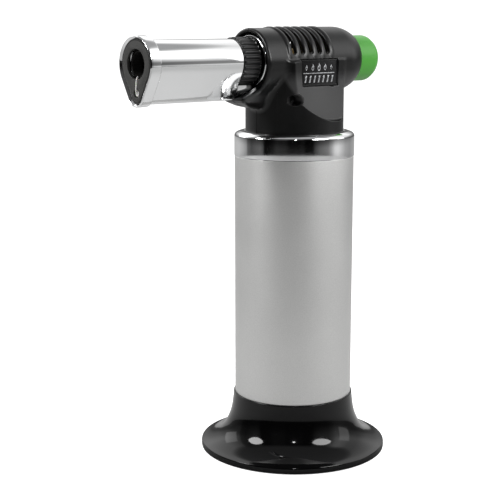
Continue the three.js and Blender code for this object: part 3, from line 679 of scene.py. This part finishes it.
def head(X, Y, Z, plate):
    zz = Z - AX
    rho = np.hypot(Y, zz)
    rz = np.hypot(X, Y)
    # barrel: soft ribs between the slots over the top, full width at the sides
    th = np.abs(np.arctan2(Y, zz))
    w = 1 - sstep((th - 1.22) / 0.42)
    ridge = (0.5 + 0.5 * np.cos(2 * math.pi * (X + 10.3) / 5.05)) * sstep((X + 17.2) / 1.2) * (1 - sstep((X - 10.4) / 1.4))
    rx = 14.8 + 0.6 * ridge + 0.3 * sstep((X - 9.0) / 3.0)
    d = rho - (15.4 - w * (15.4 - rx))
    d = smax(d, (X - 27.4) * 0.563 + (rho - 15.1) * 0.826, 3.0)
    d = smax(d, X - 32.0, 0.7)
    d = smax(d, -28.0 - X, 1.3)
    # neck
    n = rz - 23.0
    n = smax(n, Z - AX, 1.0)
    n = smax(n, 148.7 - Z, 0.2)
    # foot flange held under the collar
    foot = smax(rz - 25.4, np.abs(Z - 149.95) - 1.25, 0.2)
    # scooped cheeks: flat in the middle, flaring gently out to a round edge
    rd = np.hypot(X - 8.0, Z - 187.5)
    t = np.maximum(rd - 10.0, 0)
    scoop = smax(rd - 28.5, (15.4 + 0.2 * t * t / (t + 3.0) - np.abs(Y)) * 0.98, 1.3)
    n = smax(n, -scoop, 0.4)
    d = smin(d, n, 1.5)
    # lower lip
    lip = smax(polygon2(X, Z, LIP), capsule2(Y, zz, 14.2, 7.6, 14.4), 1.2)
    d = smin(d, lip, 2.4)
    d = smin(d, foot, 0.2)
    outer = d
    # inside
    k = 0.35
    c = smax(rho - 13.05, np.abs(X - 0.5) - 21.5, k)
    c = np.minimum(c, smax(rho - 13.05, X + 22.6, k))
    c = np.minimum(c, smax(rho - 10.5, np.abs(X + 21.75) - 1.5, k))
    c = np.minimum(c, smax(rho - 11.1, 20 - X, k))
    c = np.minimum(c, smax(rz - 20.5, Z - 156.6, k))
    c = np.minimum(c, smax(rbox(X + 0.1, Y, 20.1, 13.0, 4.0), np.abs(Z - 171.25) - 15.25, k))
    c = np.minimum(c, np.maximum(np.maximum(np.abs(X + 16.7) - 4.7, np.abs(Y) - 4), np.abs(Z - 169.2) - 5.8))
    l1 = np.where(Z > 175.45, np.abs(Y), np.hypot(Y, Z - 175.45)) - 5.25
    c = np.minimum(c, smax(smax(l1, Z - 178, k), X + 28.5, k))
    l2 = np.where(Z > 172.15, np.abs(Y), np.hypot(Y, Z - 172.15)) - 5.25
    c = np.minimum(c, smax(smax(l2, Z - 180, k), np.abs(X + 23.75) - 5.75, k))
    c = np.minimum(c, smax(rho - 12.6, X + 26.0, k))
    d = smax(d, -c, 0.45)
    # cooling slots round the top
    u = rho * th
    L = rho * math.radians(77.5) - 1.05
    for sx in SLOT_X:
        s = np.hypot(np.maximum(u - L, 0), X - sx) - 1.05
        s = np.maximum(s, 12.2 - rho)
        d = smax(d, -s, 0.6)
    # pillars and screw holes
    d = np.minimum(d, np.maximum(np.hypot(X - 9.4, Z - 177.0) - 3.3, np.abs(Y) - 13.5))
    d = np.minimum(d, smax(np.maximum(np.hypot(X + 14.7, Z - 169.2) - 3.4, 9.5 - np.abs(Y)), rz - 22.9, 0.3))
    if plate:
        pk = np.maximum(rbox(X - (PL[0] + PL[1]) / 2, Z - (PL[2] + PL[3]) / 2, (PL[1] - PL[0]) / 2, (PL[3] - PL[2]) / 2, 0.5), Y + 14.5)
        d = smax(d, -pk, 0.3)
        for sx, sz in SCREWS:
            h = np.hypot(X - sx, Z - sz)
            d = smax(d, -np.maximum(h - 2.5, Y + 13.2), 0.35)
            d = np.maximum(d, -(h - 1.35))
    else:
        for sx, sz in SCREWS:
            d = np.maximum(d, -np.maximum(np.hypot(X - sx, Z - sz) - 1.35, Y - 14.2))
    return d, outer


def nets(F, lo, h):
    """surface nets on a grid of values: vertices and quads"""
    nx, ny, nz = F.shape
    S = F < 0
    cnt = np.zeros((nx - 1, ny - 1, nz - 1))
    acc = np.zeros((nx - 1, ny - 1, nz - 1, 3))
    off = [(0, 0, 0), (1, 0, 0), (0, 1, 0), (1, 1, 0), (0, 0, 1), (1, 0, 1), (0, 1, 1), (1, 1, 1)]

    def sub(A, o):
        return A[o[0]:nx - 1 + o[0], o[1]:ny - 1 + o[1], o[2]:nz - 1 + o[2]]
    for i in range(8):
        for j in range(i + 1, 8):
            a, b = off[i], off[j]
            if sum(abs(p - q) for p, q in zip(a, b)) != 1:
                continue
            fa, fb = sub(F, a), sub(F, b)
            m = sub(S, a) != sub(S, b)
            t = np.where(m, fa / np.where(m, fa - fb, 1), 0)
            cnt += m
            for ax in range(3):
                acc[..., ax] += np.where(m, a[ax] + t * (b[ax] - a[ax]), 0)
    act = cnt > 0
    idx = -np.ones(act.shape, int)
    idx[act] = np.arange(act.sum())
    ii = np.argwhere(act)
    P = (ii + acc[act] / cnt[act][:, None]) * h + np.array(lo)
    quads = []
    for ax in range(3):
        a1, a2 = [(1, 2), (2, 0), (0, 1)][ax]
        sl0 = [slice(1, -1)] * 3
        sl1 = [slice(1, -1)] * 3
        sl0[ax], sl1[ax] = slice(0, -1), slice(1, None)
        A, B = S[tuple(sl0)], S[tuple(sl1)]
        e = np.argwhere(A != B)
        up = A[tuple(e.T)]
        e = e + np.array([0 if k == ax else 1 for k in range(3)])
        d1, d2 = np.zeros(3, int), np.zeros(3, int)
        d1[a1], d2[a2] = 1, 1
        c = [e - d1 - d2, e - d2, e, e - d1]
        q = np.stack([idx[tuple(p.T)] for p in c], 1)
        q[~up] = q[~up][:, ::-1]
        quads.append(q)
    Q = np.concatenate(quads)
    return P, Q[(Q >= 0).all(1)]


def shell(name, node, side, mat):
    h = 0.4
    lo = np.array([-39.3, -26.4, 147.7])
    hi = np.array([34.8, 1.0, 203.0])
    n = np.ceil((hi - lo) / h).astype(int) + 1
    gx, gy, gz = [lo[i] + h * np.arange(n[i]) for i in range(3)]
    X, Y, Z = np.meshgrid(gx, gy, gz, indexing="ij")
    plate = side < 0

    def fn(x, y, z):
        d, o = head(x, y, z, plate)
        # parting face on the middle plane; its outer edge is eased to leave a fine line
        return smax(d, y + 0.01, 0.06)
    F = fn(X, Y, Z)
    P, Q = nets(F, lo, h)

    def grad(p):
        e = 0.04
        g = np.stack([fn(p[:, 0] + e * (a == 0), p[:, 1] + e * (a == 1), p[:, 2] + e * (a == 2))
                      - fn(p[:, 0] - e * (a == 0), p[:, 1] - e * (a == 1), p[:, 2] - e * (a == 2)) for a in range(3)], 1) / (2 * e)
        return g

    def project(p, n_it):
        for _ in range(n_it):
            g = grad(p)
            gg = np.maximum((g * g).sum(1), 0.05)
            step = fn(p[:, 0], p[:, 1], p[:, 2]) / gg
            p = p - np.clip(step, -0.3, 0.3)[:, None] * g
        return p
    P = project(P, 3)
    # even the mesh out along the surface, then put it back on the surface
    E = np.concatenate([Q[:, [0, 1]], Q[:, [1, 2]], Q[:, [2, 3]], Q[:, [3, 0]]])
    for _ in range(3):
        s = np.zeros_like(P)
        c = np.zeros(len(P))
        np.add.at(s, E[:, 0], P[E[:, 1]])
        np.add.at(c, E[:, 0], 1)
        np.add.at(s, E[:, 1], P[E[:, 0]])
        np.add.at(c, E[:, 1], 1)
        mean = s / np.maximum(c, 1)[:, None]
        g = grad(P)
        g /= np.maximum(np.linalg.norm(g, axis=1), 1e-6)[:, None]
        d = mean - P
        d -= g * (d * g).sum(1)[:, None]
        P = project(P + 0.5 * d, 1)
    P = project(P, 2)
    P[:, 2] = np.clip(P[:, 2], 148.7, 201.9)
    P[:, 0] = np.clip(P[:, 0], -37.2, 32.0)
    g = grad(P)
    g /= np.maximum(np.linalg.norm(g, axis=1), 1e-6)[:, None]
    if side > 0:
        P[:, 1] *= -1
        g[:, 1] *= -1
        Q = Q[:, ::-1]
    v, f = outward(P, [tuple(q) for q in Q.tolist()])
    return make(name, v, f, mat, "torch", "head_plastic", [node], sharp=None, normals=g)


shell("head_half_left", "head_shell_left", -1, "head_plastic")
shell("head_half_right", "head_shell_right", 1, "head_plastic")

# ------------------------------------------------------------------ name plate
cx, cz = (PL[0] + PL[1]) / 2, (PL[2] + PL[3]) / 2
W, H = (PL[1] - PL[0]) / 2 - 0.28, (PL[3] - PL[2]) / 2 - 0.28


def rrect(w, h, r, n=4, cx=0.0, cy=0.0):
    out = []
    for sx, sy, a in ((1, 1, 0), (-1, 1, 90), (-1, -1, 180), (1, -1, 270)):
        for k in range(n + 1):
            t = math.radians(a + 90 * k / n)
            out.append((cx + sx * (w - r) + r * math.cos(t), cy + sy * (h - r) + r * math.sin(t)))
    return out


def on_plate(v, y):
    """(u, v, w) of a flat shape to the plate: u along X, v up, w outward from y"""
    return np.stack([v[:, 0] + cx, y - v[:, 2], v[:, 1] + cz], 1)


v, f = filled([rrect(W, H, 0.45)], 0.5, 0.12, 2)
v = on_plate(v, -14.76)
v2, f2 = filled([rrect(W, H, 0.45), rrect(W - 0.5, H - 0.5, 0.3)], 0.3, 0.1, 2)
v2 = on_plate(v2, -15.02)
v, f = join((v, f), (v2, f2))
make("plate_panel", v, f, "plate_metal", "torch", "plate_metal", ["name_plate"], sharp=40, weighted=False)


def flame(cx, cy, s):
    pts = [(0.0, 2.3), (0.34, 1.55), (0.86, 0.75), (1.02, -0.1), (0.86, -0.95), (0.42, -1.55), (0.0, -1.72),
           (-0.42, -1.55), (-0.86, -0.95), (-1.02, -0.1), (-0.8, 0.5), (-0.45, 0.9), (-0.25, 1.5)]
    P = spline([(x, y, 0) for x, y in pts + pts[:1]], 40)[:-1]
    return [(cx + s * p[0], cy + s * p[1]) for p in P]


marks = []
for i, s in enumerate((0.62, 0.80, 0.98, 0.80, 0.62)):          # row of flames
    marks.append([flame(-7.6 + 3.8 * i, 2.35, s), [(x, y) for x, y in flame(-7.6 + 3.8 * i, 1.95, s * 0.45)]])
marks.append([rrect(9.6, 0.16, 0.1, 2, 0, -0.25)])               # dividing line
for i in range(7):                                               # row of slanted bars
    u = -8.1 + 2.7 * i
    marks.append([[(u - 0.75, -4.45), (u + 0.15, -4.45), (u + 0.85, -1.35), (u - 0.05, -1.35)]])
parts = []
for m in marks:
    v, f = filled(m, 0.24, 0.05, 1)
    parts.append((on_plate(v, -15.05), f))
v, f = join(*parts)
make("plate_marks", v, f, "plate_silver", "torch", "plate_metal", (), sharp=40, weighted=False)

# ---------------------------------------------- the rest of the CAD, finished
SLOTS = {s["node"]: s["material_slot"] for s in frame["record"]["subparts"]}
for name, node in NODES.items():
    if name in ("burner_tube", "flame_holder", "sleeve_bulkhead"):
        continue
    slot = SLOTS.get(name, "steel")
    node.data.materials.clear()
    node.data.materials.append(M[slot])

# ---------------------------------------------------------------------- camera
D, HC, PITCH, FPX, YAW, PHI = 0.582737, 0.206836, 10.733, 1238.35, -2.047, 48.79
ph, ya, pi_ = math.radians(PHI), math.radians(YAW), math.radians(PITCH)
right0 = Vector((math.sin(ph), -math.cos(ph), 0))
fwd0 = Vector((math.cos(ph), math.sin(ph), 0))
R = right0 * math.cos(ya) - fwd0 * math.sin(ya)
Fh = right0 * math.sin(ya) + fwd0 * math.cos(ya)
F_ = Fh * math.cos(pi_) - Vector((0, 0, 1)) * math.sin(pi_)
U = R.cross(F_)
cam = bpy.data.cameras.new("camera")
cam.sensor_width = 36
cam.lens = FPX * 36 / 500
cam.clip_start, cam.clip_end = 0.01, 20
co = link(bpy.data.objects.new("camera", cam))
m = Matrix((R, U, -F_)).transposed().to_4x4()
m.translation = Vector((-D * math.cos(ph), -D * math.sin(ph), HC))
co.matrix_world = m
bpy.context.scene.camera = co
TOCAM = Vector((-math.cos(ph), -math.sin(ph), 0))
RIGHT = Vector((math.sin(ph), -math.cos(ph), 0))

# ------------------------------------------------------------- floor and world
nseg = 96
fl = bpy.data.meshes.new("floor")
fv = [(0, 0, -0.0002)] + [(1.0 * math.cos(2 * math.pi * k / nseg), 1.0 * math.sin(2 * math.pi * k / nseg), -0.0002) for k in range(nseg)]
fl.from_pydata(fv, [], [(0, k + 1, (k + 1) % nseg + 1) for k in range(nseg)])
floor = link(bpy.data.objects.new("floor", fl))
fm = bpy.data.materials.new("floor_white")
fm.use_nodes = True
nt = fm.node_tree
nt.nodes.clear()
out = nt.nodes.new("ShaderNodeOutputMaterial")
lp = nt.nodes.new("ShaderNodeLightPath")
mix = nt.nodes.new("ShaderNodeMixShader")
dif = nt.nodes.new("ShaderNodeBsdfDiffuse")
dif.inputs["Color"].default_value = (0.30, 0.30, 0.298, 1)
glow = nt.nodes.new("ShaderNodeEmission")
where = nt.nodes.new("ShaderNodeTexCoord").outputs["Object"]


def fnode(kind, op, *args):
    n = nt.nodes.new(kind)
    n.operation = op
    for i, x in enumerate(args):
        if isinstance(x, (int, float, tuple)):
            n.inputs[i].default_value = x
        else:
            nt.links.new(x, n.inputs[i])
    return n


def fall(fac, x0, x1, y0, y1):
    r = nt.nodes.new("ShaderNodeMapRange")
    r.interpolation_type = "SMOOTHSTEP"
    for k, x in (("From Min", x0), ("From Max", x1), ("To Min", y0), ("To Max", y1)):
        r.inputs[k].default_value = x
    nt.links.new(fac, r.inputs["Value"])
    return r.outputs["Result"]


# for rays other than the camera's the floor glows, brighter near the torch and dimmer towards the camera; the glow
# stops round the base as a painted shadow
dist = fnode("ShaderNodeVectorMath", "LENGTH", where).outputs["Value"]
ahead = fnode("ShaderNodeVectorMath", "DOT_PRODUCT", where, tuple(TOCAM)).outputs["Value"]
near = fall(dist, 0.10, 0.50, 0.33, 0.16)
front = fall(ahead, 0.07, 0.30, 1.0, 0.30)
shadow_round_base = fall(dist, 0.045, 0.07, 0.0, 1.0)
amount = fnode("ShaderNodeMath", "MULTIPLY", fnode("ShaderNodeMath", "MULTIPLY", near, front).outputs[0], shadow_round_base).outputs[0]
nt.links.new(amount, glow.inputs["Strength"])
seen = nt.nodes.new("ShaderNodeAddShader")
nt.links.new(dif.outputs[0], seen.inputs[0])
nt.links.new(glow.outputs[0], seen.inputs[1])
dif2 = nt.nodes.new("ShaderNodeBsdfDiffuse")
dif2.inputs["Color"].default_value = (0.85, 0.85, 0.85, 1)
em = nt.nodes.new("ShaderNodeEmission")
em.inputs["Strength"].default_value = 0.75
add = nt.nodes.new("ShaderNodeAddShader")
nt.links.new(dif2.outputs[0], add.inputs[0])
nt.links.new(em.outputs[0], add.inputs[1])
nt.links.new(lp.outputs["Is Camera Ray"], mix.inputs["Fac"])
nt.links.new(seen.outputs[0], mix.inputs[1])
nt.links.new(add.outputs[0], mix.inputs[2])
nt.links.new(mix.outputs[0], out.inputs["Surface"])
fl.materials.append(fm)

world = bpy.data.worlds.new("studio")
bpy.context.scene.world = world
world.use_nodes = True
nt = world.node_tree
nt.nodes.clear()
out = nt.nodes.new("ShaderNodeOutputWorld")
tc = nt.nodes.new("ShaderNodeTexCoord")


def math_node(op, a, b=None):
    n = nt.nodes.new("ShaderNodeMath")
    n.operation = op
    for i, x in enumerate((a, b)):
        if x is None:
            continue
        if isinstance(x, (int, float)):
            n.inputs[i].default_value = x
        else:
            nt.links.new(x, n.inputs[i])
    return n.outputs[0]


sep = nt.nodes.new("ShaderNodeSeparateXYZ")
nt.links.new(tc.outputs["Generated"], sep.inputs[0])
hx, hy, hz = sep.outputs
toc = math_node("ADD", math_node("MULTIPLY", hx, TOCAM.x), math_node("MULTIPLY", hy, TOCAM.y))
rgt = math_node("ADD", math_node("MULTIPLY", hx, RIGHT.x), math_node("MULTIPLY", hy, RIGHT.y))
az = math_node("ARCTAN2", rgt, toc)              # 0 behind the camera's side, + to the camera's right
az = math_node("ADD", math_node("DIVIDE", az, 2 * math.pi), 0.5)


def ramp(fac, stops, interp="LINEAR"):
    n = nt.nodes.new("ShaderNodeValToRGB")
    n.color_ramp.interpolation = interp
    el = n.color_ramp.elements
    while len(el) > 1:
        el.remove(el[-1])
    for i, (p, c) in enumerate(stops):
        e = el[0] if i == 0 else el.new(p)
        e.position = p
        e.color = (c, c, c, 1)
    nt.links.new(fac, n.inputs["Fac"])
    return n.outputs["Color"]


def deg(a):
    return a / 360 + 0.5


# brightness round the horizon, by angle from the camera's direction (left negative)
around = ramp(az, [(deg(a), v / 1.3) for a, v in (
    (-180, .75), (-132, .90), (-115, .70), (-104, .48), (-100, .20), (-89, .11), (-78, .16), (-68, .19), (-62, .12), (-58, .008),
    (-50, .008), (-41, .020), (-33, .048), (-24, .040), (-16, .037), (-9, .012), (2, .015), (8, .012), (16, .022), (22, .004),
    (36, .010), (41, .09), (50, .19), (59, .25), (68, .32), (76, .62), (84, 1.1), (92, 1.2), (101, .96), (114, .62), (132, .49), (180, .75))])
# brightness by height: dark below the table's edge
elev = math_node("ADD", math_node("MULTIPLY", hz, 0.5), 0.5)
over = ramp(elev, [(.5 + h / 2, v / 1.8) for h, v in ((-1, .2), (-.25, .2), (-.19, .3), (-.12, .62), (-.09, .62), (-.05, .2), (.09, .2), (.26, .8), (.40, 1.7), (.70, 1.7), (.80, .42), (1, .40))])
top = ramp(elev, [(0.0, 0.0), (0.85, 0.0), (0.90, 1.0), (1.0, 1.0)])
col = nt.nodes.new("ShaderNodeMix")
col.data_type = "RGBA"
nt.links.new(top, col.inputs["Factor"])
mulc = nt.nodes.new("ShaderNodeMix")
mulc.data_type = "RGBA"
mulc.blend_type = "MULTIPLY"
mulc.inputs["Factor"].default_value = 1.0
nt.links.new(around, mulc.inputs["A"])
nt.links.new(over, mulc.inputs["B"])
nt.links.new(mulc.outputs["Result"], col.inputs["A"])
col.inputs["B"].default_value = (.38 / 2.34, .38 / 2.34, .385 / 2.34, 1)
bg1 = nt.nodes.new("ShaderNodeBackground")
nt.links.new(col.outputs["Result"], bg1.inputs["Color"])
bg1.inputs["Strength"].default_value = 2.34
bg2 = nt.nodes.new("ShaderNodeBackground")
bg2.inputs["Color"].default_value = (1, 1, 1, 1)
bg2.inputs["Strength"].default_value = 1.2
lp = nt.nodes.new("ShaderNodeLightPath")
mx = nt.nodes.new("ShaderNodeMixShader")
nt.links.new(lp.outputs["Is Camera Ray"], mx.inputs["Fac"])
nt.links.new(bg1.outputs[0], mx.inputs[1])
nt.links.new(bg2.outputs[0], mx.inputs[2])
nt.links.new(mx.outputs[0], out.inputs["Surface"])


def softbox(name, az_deg, el_deg, dist, w, h, power, target=(0, 0, 0.1), spread=180):
    """a rectangular light, by angle from the camera's direction (right positive) and height"""
    a, e = math.radians(az_deg), math.radians(el_deg)
    d = (TOCAM * math.cos(a) + RIGHT * math.sin(a)) * math.cos(e) + Vector((0, 0, math.sin(e)))
    lt = bpy.data.lights.new(name, "AREA")
    lt.shape = "RECTANGLE"
    lt.size, lt.size_y = w, h
    lt.energy = power
    lt.spread = math.radians(spread)
    if name.startswith("window"):
        lt.shape = "ELLIPSE"
    o = link(bpy.data.objects.new(name, lt))
    o.location = Vector(target) + d * dist
    o.rotation_mode = "QUATERNION"
    o.rotation_quaternion = d.to_track_quat("Z", "Y")
    return o


softbox("box_right", 100, 16, 1.6, 0.60, 0.60, 1.2)
softbox("box_left", -122, 20, 1.6, 0.70, 0.60, 1.5)
softbox("window_left", -69, 33, 1.5, 0.64, 0.50, 12.5, target=(0, 0, 0.02))
softbox("window_right", 55, 34, 1.5, 0.80, 0.46, 11.5, target=(0, 0, 0.02))
softbox("lamp", 3, 34, 1.5, 0.07, 0.07, 0.9, target=(0, 0, 0.02))

sc = bpy.context.scene
sc.view_settings.view_transform = "Standard"
sc.view_settings.look = "None"
sc.view_settings.exposure = 0.0
